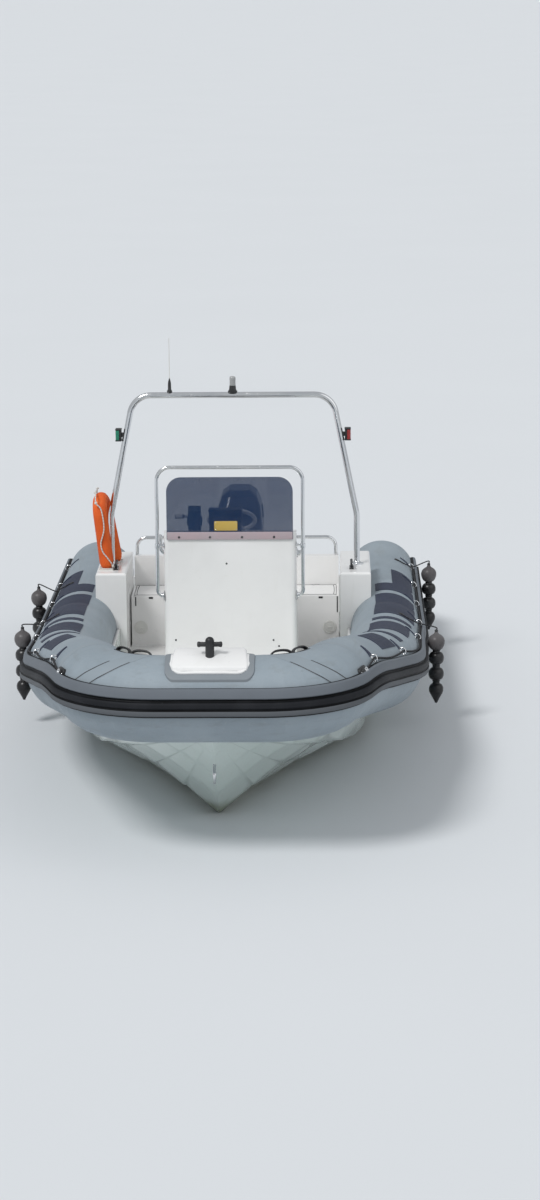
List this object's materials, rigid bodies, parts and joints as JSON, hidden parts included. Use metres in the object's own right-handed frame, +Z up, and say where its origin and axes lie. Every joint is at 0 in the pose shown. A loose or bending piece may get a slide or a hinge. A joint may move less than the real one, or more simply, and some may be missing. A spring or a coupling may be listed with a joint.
{
  "type": "inflatable rib boat",
  "caption": "Rigid inflatable boat with a grey collar, deep-V hull, centre console with tinted screen, stern bench, steel A-frame and outboard.",
  "frame": {"origin": "on the centreline at the waterline, half way along the collar", "axes": "+X to port, +Y aft (the bow points along -Y), +Z up"},
  "size_m": [2.909, 6.6393, 3.222],
  "materials": {
    "tube_fabric": "satin",
    "patch_fabric": "matte",
    "strake_rubber": "matte",
    "gelcoat": "gloss",
    "stainless": "polished",
    "acrylic": "gloss",
    "black_plastic": "satin",
    "black_rope": "braided",
    "fender_black": "satin",
    "buoy_orange": "woven cover",
    "red_lens": "gloss",
    "green_lens": "gloss",
    "white_plastic": "gloss",
    "engine_paint": "gloss",
    "wheel_rim": "satin",
    "propeller_metal": "painted"
  },
  "bodies": {
    "boat": {"a_frame": "stainless", "antenna": "white_plastic", "bow_eye": "stainless", "bow_pad": "strake_rubber", "bow_step": "gelcoat", "console_rails": "stainless", "console_shell": "gelcoat", "engine_clamp": "engine_paint", "engine_control": "black_plastic", "fender_cords": "black_rope", "fenders": "fender_black", "grab_handles": "black_plastic", "helm_column": "black_plastic", "hull_shell": "gelcoat", "inspection_plates": "white_plastic", "instrument_box": "black_plastic", "lifebuoy": "buoy_orange", "lifebuoy_bracket": "white_plastic", "lifeline": "black_rope", "lifeline_fittings": "black_plastic", "masthead_light": "white_plastic", "nav_light_port": "red_lens", "nav_light_starboard": "green_lens", "rubbing_strake": "strake_rubber", "samson_post": "stainless", "seat_back": "gelcoat", "side_pods": "gelcoat", "stern_cleats": "black_plastic", "stern_rail": "stainless", "stern_seat": "gelcoat", "tow_eyes": "stainless", "transom_board": "gelcoat", "tube_bow": "tube_fabric", "tube_port": "tube_fabric", "tube_starboard": "tube_fabric", "wear_patches": "patch_fabric", "windscreen": "acrylic", "windscreen_hoop": "stainless"},
    "seat_lid_port": {"seat_lid_port": "gelcoat"},
    "seat_lid_starboard": {"seat_lid_starboard": "gelcoat"},
    "steering_wheel": {"steering_wheel": "wheel_rim"},
    "swivel": {"engine_swivel": "engine_paint"},
    "outboard": {"engine_cowl": "engine_paint", "engine_leg": "engine_paint"},
    "propeller": {"propeller": "propeller_metal"}
  },
  "joints": [
    {"name": "outboard_tilt", "type": "hinge", "parent": "boat", "child": "swivel", "pos_m": [0, 2.52, 0.405], "axis": [1, 0, 0], "range_deg": [0, 55]},
    {"name": "outboard_steer", "type": "hinge", "parent": "swivel", "child": "outboard", "pos_m": [0, 2.66, 0], "axis": [0, 0, 1], "range_deg": [-30, 30]},
    {"name": "propeller_spin", "type": "hinge", "parent": "outboard", "child": "propeller", "pos_m": [0, 3.051, -0.575], "axis": [0, 1, 0], "continuous": true},
    {"name": "wheel_turn", "type": "hinge", "parent": "boat", "child": "steering_wheel", "pos_m": [0, 0.89, 1.245], "axis": [0, 0.6, 0.8], "range_deg": [-541, 541]},
    {"name": "lid_port_hinge", "type": "hinge", "parent": "boat", "child": "seat_lid_port", "pos_m": [0.367, 1.765, 0.61], "axis": [-1, 0, 0], "range_deg": [0, 80]},
    {"name": "lid_starboard_hinge", "type": "hinge", "parent": "boat", "child": "seat_lid_starboard", "pos_m": [-0.367, 1.765, 0.61], "axis": [-1, 0, 0], "range_deg": [0, 80]}
  ],
  "couplings": [
    {"joint": "wheel_turn", "follows": "outboard_steer", "ratio": -18}
  ]
}
